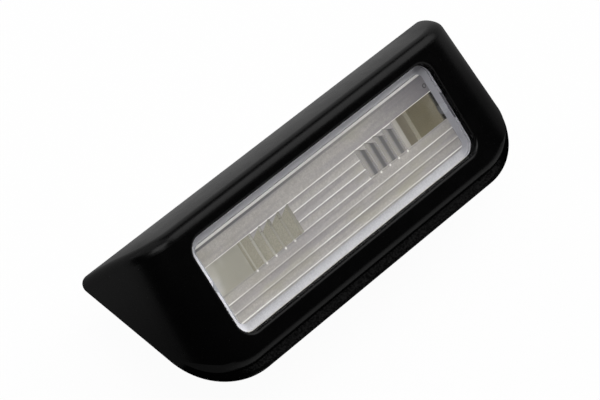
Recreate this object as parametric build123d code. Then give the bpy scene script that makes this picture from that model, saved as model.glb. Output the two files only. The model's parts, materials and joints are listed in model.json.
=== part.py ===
"""Number plate lamp: a black wedge housing with a clear fluted lens over a bulb tray that snaps
through a panel. X runs along the lamp, Y up its mounting plate and Z out of the panel.
The origin is at the middle of the mounting plate, on the back of the panel gasket."""

import os
from math import cos, radians, sin, tan

from build123d import *

# Housing: a wedge that stands on its mounting plate, in millimetres and degrees
end_margin = 11.6  # mounting plate past each end of the lens, along its foot edge
foot_margin = 7.7  # front face below the lens
head_land = 0.66  # flat strip of the front face above the window's rounded edge
face_tilt = 24.6  # front face against the panel
face_lift = 1.5  # front face above the front of the lens
end_lean = 7.6  # ends spread towards the top edge
end_draft = 25.0  # ends lean in towards the front
top_lean = 24.4  # top wall leans in towards the front
top_crown = 60.0  # radius of the top wall's bulge
foot_draft = 5.8  # low wall above the lip
wall = 2.0
end_round = 10.5
top_round = 2.5
foot_round = 2.4
lip_width = 1.9
lip_thickness = 1.2
lip_corner = 14.8
lip_edge = 0.4
lip_rise = 20.0  # how far the lip's strip runs up the ends
window_round = 0.8

# Stakes that hold the tray in the housing
stake_radius = 1.2
stake_head_radius = 2.0
stake_boss_radius = 2.4
stake_end_inset = 5.2  # from the end of the plate
stake_foot_inset = 8.4  # from the lower edge of the tray's plate
stake_head_inset = 7.2  # from the upper edge of the mounting plate
stake_gap = 0.06

# Lens
lens_length = 70.0
lens_height = 21.8
lens_corner = 3.2
lens_thickness = 1.8
lens_edge_round = 0.3
lens_gap = 0.12
skirt_wall = 1.75
skirt_depth = 2.4
seal_thickness = 0.6
flute_pitch = 2.2
flute_depth = 0.3
flute_lift = 0.1  # middle flute line above the middle of the lens
prism_start = 11.4
prism_pitch = 2.6
prism_count = 5
prism_depth = 0.8
lug_width = 6.0
lug_reach = 0.7
lug_thickness = 1.2
lug_top = 0.8  # below the front of the lens
nib_width = 2.6
nib_reach = 0.9
root = 0.4  # how deep a moulded detail runs into its wall

# Bulb tray
tray_plate_thickness = 1.2
tray_plate_foot = 4.6
tray_plate_corner = 1.0
tray_gap = 0.25
well_depth = 9.5  # floor behind the mounting plate
well_floor = 1.6
collar_width = 1.1
collar_depth = 1.2
plug_length = 13.0
plug_height = 8.4
plug_wall = 1.3
plug_depth = 8.0
plug_corner = 1.2
plug_catch = 1.0
plug_catch_width = 4.0

# Panel gasket
gasket_thickness = 1.0
gasket_inset = 1.2
gasket_gap = 0.5

# Bulb
bulb_radius = 5.25
bulb_depth = 2.2  # axis behind the mounting plate
glass_length = 22.0
glass_wall = 0.6
glass_shoulder = 3.0
neck_length = 2.5
cap_radius = 3.5
cap_length = 4.0
cap_tip_length = 3.0
cap_wall = 0.4
cap_tip_radius = 1.0
neck_gap = 0.1
coil_length = 9.0
coil_radius = 0.5
lead_radius = 0.2

# Contacts and rivets
strip_thickness = 0.6
strip_width = 7.0
strip_bend = 0.8
seat_radius = 2.0
seat_gap = 0.05
arm_top = 2.6  # top of the arm above the bulb's axis
arm_flare = 0.9
flare_height = 1.6
blade_width = 4.8
blade_pitch = 6.0
blade_recess = 1.5  # blade end inside the plug collar
blade_gap = 0.1
rivet_radius = 1.2
rivet_head_radius = 2.1
rivet_head_height = 0.7
rivet_bore = 0.6
rivet_gap = 0.05
rivet_x = 11.5

# Spring clips
clip_thickness = 0.5
clip_width = 9.0
clip_top = 4.0  # leg's upper end behind the mounting plate
clip_drop = 0.5  # bend below the tray's floor
clip_fold = 1.9  # between the two legs
clip_bow = 3.4  # widest point out from the well
clip_bow_depth = 5.0
clip_catch = 1.7  # tip out from the well
clip_catch_depth = 3.6
clip_bend = 0.7
guide_width = 1.2
guide_lip = 0.8
guide_gap = 0.1
guide_top = 5.0
guide_overlap = 1.0

# Worked out from the sizes above
tilt = radians(face_tilt)
rim_z = gasket_thickness
lens_rise = foot_margin + lens_height / 2
plate_length = lens_length + 2 * end_margin
top_edge = foot_margin + lens_height + lens_gap + window_round + head_land
crease = top_edge + top_round * tan((radians(90 - top_lean) + tilt) / 2)
crease_rise = crease * cos(tilt) - face_lift * sin(tilt)
crease_z = crease * sin(tilt) + face_lift * cos(tilt)
plate_height = crease_rise + crease_z * tan(radians(top_lean))
stake_rises = (tray_plate_foot + stake_foot_inset, plate_height - stake_head_inset)
foot_y = -plate_height / 2
seat_depth = skirt_depth + seal_thickness
well_rise = lens_rise * cos(tilt) + seat_depth * sin(tilt)
well_height = lens_height * cos(tilt)
well_inner_length = lens_length - 2 * skirt_wall
well_inner_height = (lens_height - 2 * skirt_wall) * cos(tilt)
well_corner = lens_corner - skirt_wall / 2
floor_z = rim_z - well_depth
back_z = floor_z - well_floor
plug_z = back_z - plug_depth
bulb_y = foot_y + well_rise
bulb_z = rim_z - bulb_depth
cap_end = glass_length / 2 + cap_length
cap_tip = cap_end + cap_tip_length
far = 2 * plate_height  # longer than any cut through a piece

face_plane = Plane((0, foot_y, rim_z), (1, 0, 0), (0, -sin(tilt), cos(tilt)))
on_base = (Align.CENTER, Align.CENTER, Align.MIN)
lens_place = face_plane.location * Pos(0, lens_rise, 0)


def half_length(rise, z, inset):
    """Half the wedge's length at a rise up the plate and a height above it."""
    spread = rise * tan(radians(end_lean)) - z * tan(radians(end_draft))
    return plate_length / 2 - inset + spread


def outline(z, inset=0.0, foot=0.0, corner=0.0, head_corner=0.0):
    """Plan of the wedge at a height above the plate, with rounded corners."""
    low = foot + inset + z * tan(radians(foot_draft))
    high = plate_height - inset - z * tan(radians(top_lean))
    corners = [(side * half_length(rise, z, inset), foot_y + rise)
               for side, rise in ((-1, low), (1, low), (1, high), (-1, high))]
    plan = make_face(Polyline(*corners, close=True))
    if corner:
        plan = fillet(plan.vertices().sort_by(Axis.Y)[:2], corner)
    if head_corner:
        plan = fillet(plan.vertices().sort_by(Axis.Y)[-2:], head_corner)
    return Pos(0, 0, rim_z + z) * plan


def tapered(low_z, high_z, **plan):
    """Solid between two plans of the wedge."""
    return loft([outline(z, **plan) for z in (low_z, high_z)], ruled=True)


def front_of(solid):
    """The flat front face of a wedge."""
    return solid.faces().sort_by(Axis((0, 0, 0), face_plane.z_dir))[-1]


def wall_plane(point, outward):
    """Plane of a wall through a point on the mounting plate."""
    return Plane((*point, rim_z), z_dir=outward)


def cut_by(solid, planes):
    """What is left of a solid behind every plane."""
    for plane in planes:
        solid = split(solid, bisect_by=plane, keep=Keep.BOTTOM)
    return solid


def crown(inset):
    """Round bar whose side is the top wall, bulging between the mounting plate and the crease."""
    heel = Vector(0, foot_y + plate_height, rim_z)
    chord = Vector(0, crease_rise - plate_height, crease_z)
    inward = Vector(0, -chord.Z, chord.Y).normalized()
    middle = heel + chord / 2 + inward * (top_crown ** 2 - chord.length ** 2 / 4) ** 0.5
    return Pos(middle) * Rot(0, 90, 0) * Cylinder(top_crown - inset, 2 * far)


def wedge(inset, low_z):
    """The wedge's outer form, or with an inset the hollow inside it, whose small edges stay sharp."""
    lean, draft = tan(radians(end_lean)), tan(radians(end_draft))
    end = half_length(0, 0, inset)
    right = wall_plane((end, foot_y), (1, -lean, draft))
    left = wall_plane((-end, foot_y), (-1, -lean, draft))
    foot = wall_plane((0, foot_y + lip_width + inset), (0, -1, tan(radians(foot_draft))))
    front = face_plane.offset(face_lift - inset)
    block = Pos(0, 0, rim_z + low_z) * Box(2 * far, 2 * far, far, align=on_base)

    bar = cut_by(block, [right, left, front]) & crown(inset)
    sides = front_of(bar).edges().sort_by(Axis.X)
    bar = fillet([sides[0], sides[-1]], end_round - inset)
    if not inset:
        top_wall = bar.faces().sort_by(Axis.Y)[-1]
        bar = fillet(top_wall.edges().sort_by(Axis.Z)[1:], top_round)

    low = cut_by(block, [right, left, front, foot])
    corners = low.faces().sort_by(Axis.Y)[0].edges().sort_by(Axis.X)
    low = fillet([corners[0], corners[-1]], lip_corner - lip_width - inset)
    if not inset:
        low = fillet(front_of(low).edges().sort_by(Axis.Y)[:-1], foot_round)
    return bar & low


def lens_outline(grow):
    """Outline of the lens, made larger or smaller all round."""
    return RectangleRounded(lens_length + 2 * grow, lens_height + 2 * grow, lens_corner + grow)


def well_outline(grow):
    """Outline of the tray's well, which meets the lens skirt behind the seal."""
    return RectangleRounded(lens_length + 2 * grow, well_height + 2 * grow, lens_corner + grow)


def on_ends(shape):
    """A shape at the lamp's right end and its mirror at the left."""
    return [shape, mirror(shape, about=Plane.YZ)]


def stakes(radius, head_radius):
    """Stakes through the tray's plate, spread flush with its back."""
    cone_height = tray_plate_thickness / 2
    spread = Cone(head_radius, radius, cone_height, align=on_base)
    stem = Cylinder(radius, tray_plate_thickness + root, align=on_base)
    return [place * (stem + spread) for place in stake_places(rim_z)]


def stake_places(z):
    """Where the four stakes stand, at a given height."""
    return [Pos(side * (half_length(rise, 0, 0) - stake_end_inset), foot_y + rise, z)
            for side in (-1, 1) for rise in stake_rises]


def make_housing():
    """Black moulded wedge: hollow behind, open at the window, with a lip round its foot."""
    form = wedge(0, 0)
    lip = tapered(0, lip_thickness, corner=lip_corner)
    lip &= Pos(0, foot_y + lip_rise / 2, 0) * Box(2 * far, lip_rise, far)
    lip_front = lip.faces().sort_by(Axis.Z)[-1]
    lip = chamfer(lip_front.edges().sort_by(Axis.Y)[:-1], lip_edge)
    shell = form + lip - wedge(wall, -wall)
    shell -= lens_place * extrude(lens_outline(lens_gap), far, both=True)
    shell = fillet(front_of(shell).inner_wires()[0].edges(), window_round)
    boss = Cylinder(stake_boss_radius, far, align=on_base)
    for place in stake_places(rim_z + tray_plate_thickness):
        shell += form & place * boss
    return shell + stakes(stake_radius, stake_head_radius)


def flute(width, length):
    """One flute of the lens, bulging inwards from the back of its plate."""
    bulge = ThreePointArc((-width / 2, 0), (0, -flute_depth), (width / 2, 0))
    back = Polyline((width / 2, 0), (width / 2, root), (-width / 2, root), (-width / 2, 0))
    return extrude(Plane.YZ * make_face(bulge + back), length / 2, both=True)


def prism(height):
    """One cross prism of the lens, steep on its inner side."""
    edge = Polyline((0, root), (0, -prism_depth), (prism_pitch, 0), (prism_pitch, root), close=True)
    return extrude(Plane.XZ * make_face(edge), height / 2, both=True)


def flute_line(index):
    """Height of a flute line above the middle of the lens."""
    return flute_lift + index * flute_pitch


def make_lens():
    """Clear lens: a plate with a skirt, flutes along it, cross prisms and snap lugs."""
    plate = extrude(lens_outline(0), -lens_thickness)
    plate = fillet(plate.faces().sort_by(Axis.Z)[-1].edges(), lens_edge_round)
    lens = plate + extrude(lens_outline(0) - lens_outline(-skirt_wall), -skirt_depth)
    back = Pos(0, 0, -lens_thickness)
    for index in (-4, -3):
        middle = (flute_line(index) + flute_line(index + 1)) / 2
        lens += back * Pos(0, middle, 0) * flute(flute_pitch, lens_length - 2 * skirt_wall)
    for index in (-2, -1, 0, 1):
        middle = (flute_line(index) + flute_line(index + 1)) / 2
        lens += back * Pos(0, middle, 0) * flute(flute_pitch, 2 * prism_start)
    low, high = flute_line(-1), flute_line(2)
    for index in range(prism_count):
        place = back * Pos(prism_start + index * prism_pitch, (low + high) / 2, 0)
        lens += on_ends(place * prism(high - low))
    lug = Box(lug_reach + root, lug_width, lug_thickness, align=(Align.MIN, Align.CENTER, Align.MAX))
    lens += on_ends(Pos(lens_length / 2 - root, 0, -lug_top) * lug)
    nib_height = skirt_depth - lens_thickness + root
    nib = Box(nib_reach + root, nib_width, nib_height, align=(Align.MAX, Align.CENTER, Align.MIN))
    lens += on_ends(Pos(lens_length / 2 - skirt_wall + root, 0, -skirt_depth) * nib)
    return lens_place * lens


def make_lens_seal():
    """Soft ring between the lens skirt and the tray."""
    ring = lens_outline(-lens_gap) - lens_outline(lens_gap - skirt_wall)
    return lens_place * Pos(0, 0, -skirt_depth) * extrude(ring, -seal_thickness)


def clip_guides():
    """Two moulded guides at the right end of the well, which hold a spring clip's leg."""
    height = rim_z - guide_top - back_z
    reach = clip_thickness + guide_gap + guide_lip
    half = clip_width / 2 + guide_gap
    post = Box(reach + root, guide_width, height, align=(Align.MIN, Align.MIN, Align.MIN))
    hook = Box(guide_lip, guide_overlap, height, align=(Align.MIN, Align.MAX, Align.MIN))
    guide = Pos(-root, half, 0) * post + Pos(clip_thickness + guide_gap, half, 0) * hook
    place = Pos(lens_length / 2, bulb_y, back_z)
    return [place * guide, place * mirror(guide, about=Plane.XZ)]


def plug_outline(grow):
    """Outline of the plug collar's opening, made larger all round."""
    return RectangleRounded(plug_length + 2 * grow, plug_height + 2 * grow, plug_corner + grow)


def plug_collar():
    """Collar behind the tray's floor that takes a plug, with a ramped catch on its upper side."""
    collar = Pos(0, 0, plug_z) * extrude(plug_outline(plug_wall) - plug_outline(0), plug_depth)
    top = 2 * plug_catch
    side = [(-root, 0), (0, 0), (plug_catch, plug_catch), (plug_catch, top), (-root, top)]
    catch = extrude(Plane.YZ * make_face(Polyline(*side, close=True)), plug_catch_width / 2, both=True)
    collar += Pos(0, plug_height / 2 + plug_wall, plug_z + plug_catch) * catch
    return Pos(0, bulb_y, 0) * collar


def make_bulb_tray():
    """Pale moulded tray: a plate that closes the housing, a well behind the lens and a plug collar."""
    inset = wall + tray_gap
    plan = dict(inset=inset, foot=tray_plate_foot - inset, corner=lip_corner - tray_plate_foot)
    tray = tapered(0, tray_plate_thickness, head_corner=tray_plate_corner, **plan)
    tray += Pos(0, bulb_y, rim_z - collar_depth) * extrude(well_outline(collar_width), collar_depth)
    well = Pos(0, bulb_y, back_z) * extrude(well_outline(0), far)
    tray += split(well, bisect_by=face_plane.offset(-seat_depth), keep=Keep.BOTTOM)
    tray -= lens_place * Pos(0, 0, -seat_depth) * extrude(lens_outline(lens_gap), far)
    inside = RectangleRounded(well_inner_length, well_inner_height, well_corner)
    tray -= Pos(0, bulb_y, floor_z) * extrude(inside, far)
    tray -= stakes(stake_radius + stake_gap, stake_head_radius + stake_gap)
    tray += plug_collar()
    slot_width = strip_thickness / 2 + strip_bend + 2 * blade_gap
    slot = Box(slot_width, blade_width + 2 * blade_gap, far, align=(Align.MIN, Align.CENTER, Align.CENTER))
    tray -= on_ends(Pos(blade_pitch / 2 - strip_thickness / 2 - blade_gap, bulb_y, floor_z) * slot)
    tray -= on_ends(Pos(rivet_x, bulb_y, floor_z) * Cylinder(rivet_radius + rivet_gap, far))
    for guide in clip_guides():
        tray += on_ends(guide)
    return tray


def make_panel_gasket():
    """Flat soft ring between the lamp's plate and the panel."""
    ring = outline(0, inset=gasket_inset, corner=lip_corner - gasket_inset, head_corner=top_round)
    ring -= Pos(0, bulb_y, rim_z) * well_outline(collar_width + gasket_gap)
    return extrude(ring, -gasket_thickness)


def bulb_side(radius, neck):
    """Half of the glass's line, from the middle of the bulb to the end of its neck."""
    shoulder = glass_length / 2 - glass_shoulder
    end = glass_length / 2
    return Polyline((0, radius), (shoulder, radius), (end, neck), (end + neck_length, neck))


def turned(profile):
    """A profile turned about the bulb's axis."""
    return Pos(0, bulb_y, bulb_z) * revolve(profile, Axis.X)


def make_bulb_glass():
    """Clear tubular glass with a neck at each end."""
    neck = cap_radius - cap_wall - neck_gap
    outer = bulb_side(bulb_radius, neck)
    inner = bulb_side(bulb_radius - glass_wall, neck - glass_wall)
    end = glass_length / 2 + neck_length
    middle_edge = Line((0, bulb_radius), (0, bulb_radius - glass_wall))
    end_edge = Line((end, neck), (end, neck - glass_wall))
    half = make_face(outer + inner + middle_edge + end_edge)
    return turned(half + mirror(half, about=Plane.YZ))


def make_bulb_cap():
    """Pointed metal cap at the right end of the bulb."""
    start = glass_length / 2
    bore = cap_radius - cap_wall
    side = [(start, bore), (start, cap_radius), (cap_end, cap_radius)]
    tip = [(cap_tip, cap_tip_radius), (cap_tip, 0)]
    inside = [(cap_end, 0), (cap_end, bore)]
    return turned(make_face(Polyline(*side, *tip, *inside, close=True)))


def make_bulb_filament():
    """Coil with a straight lead to each cap."""
    line = Polyline((-cap_end, 0), (-cap_end, lead_radius), (-coil_length / 2, lead_radius),
                    (-coil_length / 2, coil_radius), (coil_length / 2, coil_radius),
                    (coil_length / 2, lead_radius), (cap_end, lead_radius), (cap_end, 0), close=True)
    return turned(make_face(line))


def bent_strip(points, thickness, width, bend):
    """A strip bent along points in the XZ plane, square across the lamp's middle line."""
    side = trace(FilletPolyline(*points, radius=bend), thickness)
    return Pos(0, bulb_y, 0) * extrude(Plane.XZ * side, width / 2, both=True)


def make_contact():
    """Right strip: an arm that holds the bulb's cap, a foot on the tray's floor and a plug blade."""
    taper = cap_tip_length / (cap_radius - cap_tip_radius)
    seat_x = cap_end + (cap_radius - seat_radius + seat_gap) * taper
    arm_x = seat_x + strip_thickness / 2
    foot_z = floor_z + strip_thickness / 2
    top_z = bulb_z + arm_top
    blade_x = blade_pitch / 2
    arm = [(arm_x + arm_flare, top_z + flare_height), (arm_x, top_z), (arm_x, foot_z)]
    foot_end = (rivet_x - strip_width / 2, foot_z)
    blade = [(rivet_x, foot_z), (blade_x, foot_z), (blade_x, plug_z + blade_recess)]
    strip = bent_strip(arm + [foot_end], strip_thickness, strip_width, strip_bend)
    strip += bent_strip(blade, strip_thickness, blade_width, strip_bend)
    strip -= Pos(arm_x, bulb_y, bulb_z) * Rot(0, 90, 0) * Cylinder(seat_radius, far)
    strip -= Pos(rivet_x, bulb_y, foot_z) * Cylinder(rivet_radius + rivet_gap, far)
    return strip


def make_contact_rivets():
    """Two tubular rivets through the strips' feet and the tray's floor."""
    top = floor_z + strip_thickness
    shank = Pos(0, 0, back_z) * Cylinder(rivet_radius, top - back_z, align=on_base)
    head = Cylinder(rivet_head_radius, rivet_head_height, align=on_base)
    rivet = shank + Pos(0, 0, top) * head + Pos(0, 0, back_z) * mirror(head, about=Plane.XY)
    rivet -= Cylinder(rivet_bore, far)
    return Compound(children=on_ends(Pos(rivet_x, bulb_y, 0) * rivet))


def make_spring_clip():
    """Right clip: a steel leaf folded up outside the well, bowed to catch behind the panel."""
    leg_x = lens_length / 2 + clip_thickness / 2
    fold_z = back_z - clip_drop
    points = [(leg_x, rim_z - clip_top), (leg_x, fold_z), (leg_x + clip_fold, fold_z),
              (lens_length / 2 + clip_bow, rim_z - clip_bow_depth),
              (lens_length / 2 + clip_catch, rim_z - clip_catch_depth)]
    return bent_strip(points, clip_thickness, clip_width, clip_bend)


def pairs(name, shape):
    """A piece for the lamp's right end and its mirror for the left, under their own names."""
    right, left = on_ends(shape)
    return {name + "_right": right, name + "_left": left}


pieces = {
    "housing": make_housing(),
    "lens": make_lens(),
    "lens_seal": make_lens_seal(),
    "bulb_tray": make_bulb_tray(),
    "panel_gasket": make_panel_gasket(),
    "bulb_glass": make_bulb_glass(),
    "bulb_filament": make_bulb_filament(),
    "contact_rivets": make_contact_rivets(),
    **pairs("bulb_cap", make_bulb_cap()),
    **pairs("contact", make_contact()),
    **pairs("spring_clip", make_spring_clip()),
}

os.makedirs("parts", exist_ok=True)
for name, piece in pieces.items():
    export_step(piece, f"parts/{name}.step")
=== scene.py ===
"""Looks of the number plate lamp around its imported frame: finishes, a detailed lens and a studio."""

from __future__ import annotations

import json
import logging
import math
from dataclasses import dataclass, field
from enum import Enum
from pathlib import Path
from typing import Any

import bmesh
import bpy
from mathutils import Matrix, Vector
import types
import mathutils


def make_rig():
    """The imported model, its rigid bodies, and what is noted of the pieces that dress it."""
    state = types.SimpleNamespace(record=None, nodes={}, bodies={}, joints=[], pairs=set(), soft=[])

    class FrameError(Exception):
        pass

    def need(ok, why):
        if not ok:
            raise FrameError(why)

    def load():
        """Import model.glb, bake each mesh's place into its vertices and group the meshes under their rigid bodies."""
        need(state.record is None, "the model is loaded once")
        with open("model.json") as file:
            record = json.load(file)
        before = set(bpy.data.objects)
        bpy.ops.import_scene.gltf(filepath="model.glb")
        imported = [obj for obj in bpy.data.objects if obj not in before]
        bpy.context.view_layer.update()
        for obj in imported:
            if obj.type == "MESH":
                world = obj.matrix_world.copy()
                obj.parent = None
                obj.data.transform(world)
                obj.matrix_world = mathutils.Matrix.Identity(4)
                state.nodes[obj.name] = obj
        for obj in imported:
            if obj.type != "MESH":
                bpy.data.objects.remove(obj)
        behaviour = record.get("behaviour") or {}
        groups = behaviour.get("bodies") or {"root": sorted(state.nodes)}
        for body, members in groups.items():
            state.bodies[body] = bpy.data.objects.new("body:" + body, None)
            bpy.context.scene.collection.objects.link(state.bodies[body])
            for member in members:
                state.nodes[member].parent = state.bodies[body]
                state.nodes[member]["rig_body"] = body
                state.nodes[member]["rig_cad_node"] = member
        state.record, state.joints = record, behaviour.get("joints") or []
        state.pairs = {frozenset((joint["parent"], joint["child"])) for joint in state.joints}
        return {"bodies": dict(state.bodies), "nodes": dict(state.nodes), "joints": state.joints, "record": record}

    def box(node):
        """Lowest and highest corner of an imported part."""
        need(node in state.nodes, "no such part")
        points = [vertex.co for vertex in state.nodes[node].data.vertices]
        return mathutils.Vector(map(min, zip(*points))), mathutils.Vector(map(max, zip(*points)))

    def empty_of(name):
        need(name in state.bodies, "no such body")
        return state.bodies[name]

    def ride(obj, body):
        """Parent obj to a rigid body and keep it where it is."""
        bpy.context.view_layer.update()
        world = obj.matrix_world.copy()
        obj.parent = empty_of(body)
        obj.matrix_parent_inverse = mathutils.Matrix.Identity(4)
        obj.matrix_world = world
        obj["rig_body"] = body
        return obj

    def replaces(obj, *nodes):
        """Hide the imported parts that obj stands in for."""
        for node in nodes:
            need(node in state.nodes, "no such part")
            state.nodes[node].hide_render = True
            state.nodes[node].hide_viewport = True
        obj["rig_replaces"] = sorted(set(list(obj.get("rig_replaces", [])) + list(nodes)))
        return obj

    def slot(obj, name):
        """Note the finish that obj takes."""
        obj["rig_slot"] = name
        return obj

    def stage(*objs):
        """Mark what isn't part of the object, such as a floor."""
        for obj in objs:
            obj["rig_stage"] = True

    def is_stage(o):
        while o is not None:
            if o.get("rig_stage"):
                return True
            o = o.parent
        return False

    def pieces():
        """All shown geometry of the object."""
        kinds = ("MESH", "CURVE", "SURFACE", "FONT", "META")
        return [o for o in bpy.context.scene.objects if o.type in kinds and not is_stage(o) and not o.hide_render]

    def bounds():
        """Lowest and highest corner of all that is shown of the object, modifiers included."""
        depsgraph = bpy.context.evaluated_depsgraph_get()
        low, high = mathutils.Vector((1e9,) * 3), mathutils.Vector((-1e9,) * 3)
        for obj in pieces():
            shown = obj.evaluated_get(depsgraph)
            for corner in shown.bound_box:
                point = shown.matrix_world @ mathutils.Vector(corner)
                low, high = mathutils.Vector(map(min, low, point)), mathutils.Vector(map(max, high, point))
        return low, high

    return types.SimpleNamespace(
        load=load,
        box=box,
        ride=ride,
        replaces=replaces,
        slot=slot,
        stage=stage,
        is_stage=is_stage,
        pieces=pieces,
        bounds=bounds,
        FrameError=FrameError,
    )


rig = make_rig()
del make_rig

LOG = logging.getLogger("number_plate_lamp")
MM = 0.001
SIZE_FILE = Path("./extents.json")

Span = tuple[float, float]
Colour = tuple[float, float, float]
Axis = tuple[float, float, float]

X_AXIS: Axis = (1.0, 0.0, 0.0)
Y_AXIS: Axis = (0.0, 1.0, 0.0)
Z_AXIS: Axis = (0.0, 0.0, 1.0)
EVEN: Axis = (1.0, 1.0, 1.0)


class Value:
    """A shader socket whose operators add Math nodes."""

    def __init__(self, graph: Graph, socket: bpy.types.NodeSocket) -> None:
        """Keep the socket and the graph it belongs to."""
        self.graph = graph
        self.socket = socket

    def _math(self, operation: str, first: Input, second: Input) -> Value:
        """Add one Math node and return its result."""
        return self.graph.add("ShaderNodeMath", {"operation": operation}, {0: first, 1: second})

    def __add__(self, other: Input) -> Value:
        """Sum."""
        return self._math("ADD", self, other)

    def __radd__(self, other: Input) -> Value:
        """Sum, with the number first."""
        return self._math("ADD", other, self)

    def __sub__(self, other: Input) -> Value:
        """Difference."""
        return self._math("SUBTRACT", self, other)

    def __rsub__(self, other: Input) -> Value:
        """Difference, with the number first."""
        return self._math("SUBTRACT", other, self)

    def __mul__(self, other: Input) -> Value:
        """Product."""
        return self._math("MULTIPLY", self, other)

    def __rmul__(self, other: Input) -> Value:
        """Product, with the number first."""
        return self._math("MULTIPLY", other, self)

    def __truediv__(self, other: Input) -> Value:
        """Quotient."""
        return self._math("DIVIDE", self, other)

    def __rtruediv__(self, other: Input) -> Value:
        """Quotient, with the number first."""
        return self._math("DIVIDE", other, self)

    def __abs__(self) -> Value:
        """Size without sign."""
        return self._math("ABSOLUTE", self, 0.0)

    def __round__(self) -> Value:
        """Nearest whole number."""
        return self._math("ROUND", self, 0.0)


Input = Value | float | tuple


class Graph:
    """Node tree of one material or of the world."""

    def __init__(self, tree: bpy.types.NodeTree) -> None:
        """Start from an empty tree."""
        tree.nodes.clear()
        self.tree = tree

    def add(self, kind: str, settings: dict[str, Any] | None = None,
            inputs: dict[str | int, Input] | None = None, output: str | int = 0) -> Value:
        """Add a node.

        Args:
            kind: Type of the node.
            settings: Properties of the node, set before its sockets.
            inputs: Numbers, vectors or links for its sockets.
            output: Which of its outputs to return.

        Returns:
            The chosen output, or the node's first one.
        """
        node = self.tree.nodes.new(kind)
        for name, setting in (settings or {}).items():
            setattr(node, name, setting)
        for key, value in (inputs or {}).items():
            socket = node.inputs[key]
            if isinstance(value, Value):
                self.tree.links.new(value.socket, socket)
            elif isinstance(value, tuple) and len(value) == 3 and socket.type == "RGBA":
                socket.default_value = (*value, 1.0)
            else:
                socket.default_value = value
        return Value(self, node.outputs[output] if node.outputs else None)

    def place(self) -> Value:
        """Object coordinates, in metres."""
        return self.add("ShaderNodeTexCoord", output="Object")

    def along(self, axis: Axis) -> Value:
        """Distance along an axis through the origin, in millimetres."""
        inputs = {0: self.place(), 1: axis}
        return self.add("ShaderNodeVectorMath", {"operation": "DOT_PRODUCT"}, inputs, "Value") / MM

    def ramp(self, value: Value, low: float, high: float, start: float = 0.0, end: float = 1.0) -> Value:
        """Map a value smoothly from one range to another, held at its ends."""
        inputs = {"Value": value, "From Min": low, "From Max": high, "To Min": start, "To Max": end}
        return self.add("ShaderNodeMapRange", {"interpolation_type": "SMOOTHSTEP"}, inputs)

    def highest(self, first: Input, second: Input) -> Value:
        """The larger of two values."""
        return self.add("ShaderNodeMath", {"operation": "MAXIMUM"}, {0: first, 1: second})

    def blend(self, factor: Input, first: Input, second: Input) -> Value:
        """Mix two colours."""
        inputs = {0: factor, 6: first, 7: second}
        return self.add("ShaderNodeMix", {"data_type": "RGBA"}, inputs, output=2)

    def bump(self, height: Value, depth: float) -> Value:
        """Normal of a relief whose depth is in millimetres."""
        return self.add("ShaderNodeBump", None, {"Height": height, "Distance": depth * MM})

    def seen(self) -> Value:
        """Tell rays that look at the surface from rays that only carry its light.

        Returns:
            1 where the camera looks straight on, in a mirror or through glass, and 0 for other light.
        """
        camera = self.add("ShaderNodeLightPath", output="Is Camera Ray")
        glossy = self.add("ShaderNodeLightPath", output="Is Glossy Ray")
        through = self.add("ShaderNodeLightPath", output="Is Transmission Ray")
        return self.highest(camera + glossy, through)

    def surface(self, matt: Input = 0.0, matt_colour: Colour = (0.0, 0.0, 0.0), **inputs: Input) -> None:
        """Finish the material with one Principled surface.

        Args:
            matt: Share of the surface that is left without gloss.
            matt_colour: Colour of that share.
            inputs: Values for its sockets; underscores in names stand for spaces.
        """
        named = {name.replace("_", " "): value for name, value in inputs.items()}
        shader = self.add("ShaderNodeBsdfPrincipled", None, named)
        if matt != 0.0:
            dull = self.add("ShaderNodeBsdfDiffuse", None, {"Color": matt_colour})
            shader = self.add("ShaderNodeMixShader", None, {0: matt, 1: shader, 2: dull})
        self.add("ShaderNodeOutputMaterial", None, {"Surface": shader})


@dataclass(frozen=True)
class Patches:
    """Soft patches of noise.

    Attributes:
        size: Size of a patch in millimetres.
        detail: Number of finer layers.
        limits: Noise at which a patch begins and at which it is full.
        cover: Value outside the patches and inside them.
        stretch: How many times finer the patches are along each axis.
    """

    size: float
    detail: float = 3.0
    limits: Span = (0.35, 0.65)
    cover: Span = (0.0, 1.0)
    stretch: Axis = EVEN

    def noise(self, graph: Graph) -> Value:
        """Add the bare noise.

        Args:
            graph: Graph to add to.

        Returns:
            Noise from 0 to 1.
        """
        inputs = {0: graph.place(), 1: self.stretch}
        place = graph.add("ShaderNodeVectorMath", {"operation": "MULTIPLY"}, inputs)
        inputs = {"Vector": place, "Scale": 1 / (self.size * MM), "Detail": self.detail}
        return graph.add("ShaderNodeTexNoise", None, inputs)

    def paint(self, graph: Graph) -> Value:
        """Value at each point of the surface."""
        return graph.ramp(self.noise(graph), *self.limits, *self.cover)


@dataclass(frozen=True)
class Finish:
    """A surface finish that paints a material."""

    name: str

    def material(self) -> bpy.types.Material:
        """Make the material.

        Returns:
            The new material, under the finish's name.
        """
        material = bpy.data.materials.new(self.name)
        material.use_nodes = True
        self.paint(Graph(material.node_tree))
        return material

    def paint(self, graph: Graph) -> None:
        """Add the finish's nodes."""
        raise NotImplementedError


@dataclass(frozen=True)
class Backdrop(Finish):
    """Plain pale paint that looks white and keeps a light shadow."""

    colour: Colour = (0.9, 0.9, 0.9)
    whiteness: float = 0.96

    def paint(self, graph: Graph) -> None:
        """Mix the lit paint with white wherever it is looked at.

        Args:
            graph: Graph of the material.
        """
        lit = graph.add("ShaderNodeBsdfDiffuse", None, {"Color": self.colour})
        white = graph.add("ShaderNodeEmission", None, {"Strength": 1.0})
        factor = graph.seen() * self.whiteness
        shader = graph.add("ShaderNodeMixShader", None, {0: factor, 1: lit, 2: white})
        graph.add("ShaderNodeOutputMaterial", None, {"Surface": shader})


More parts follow.
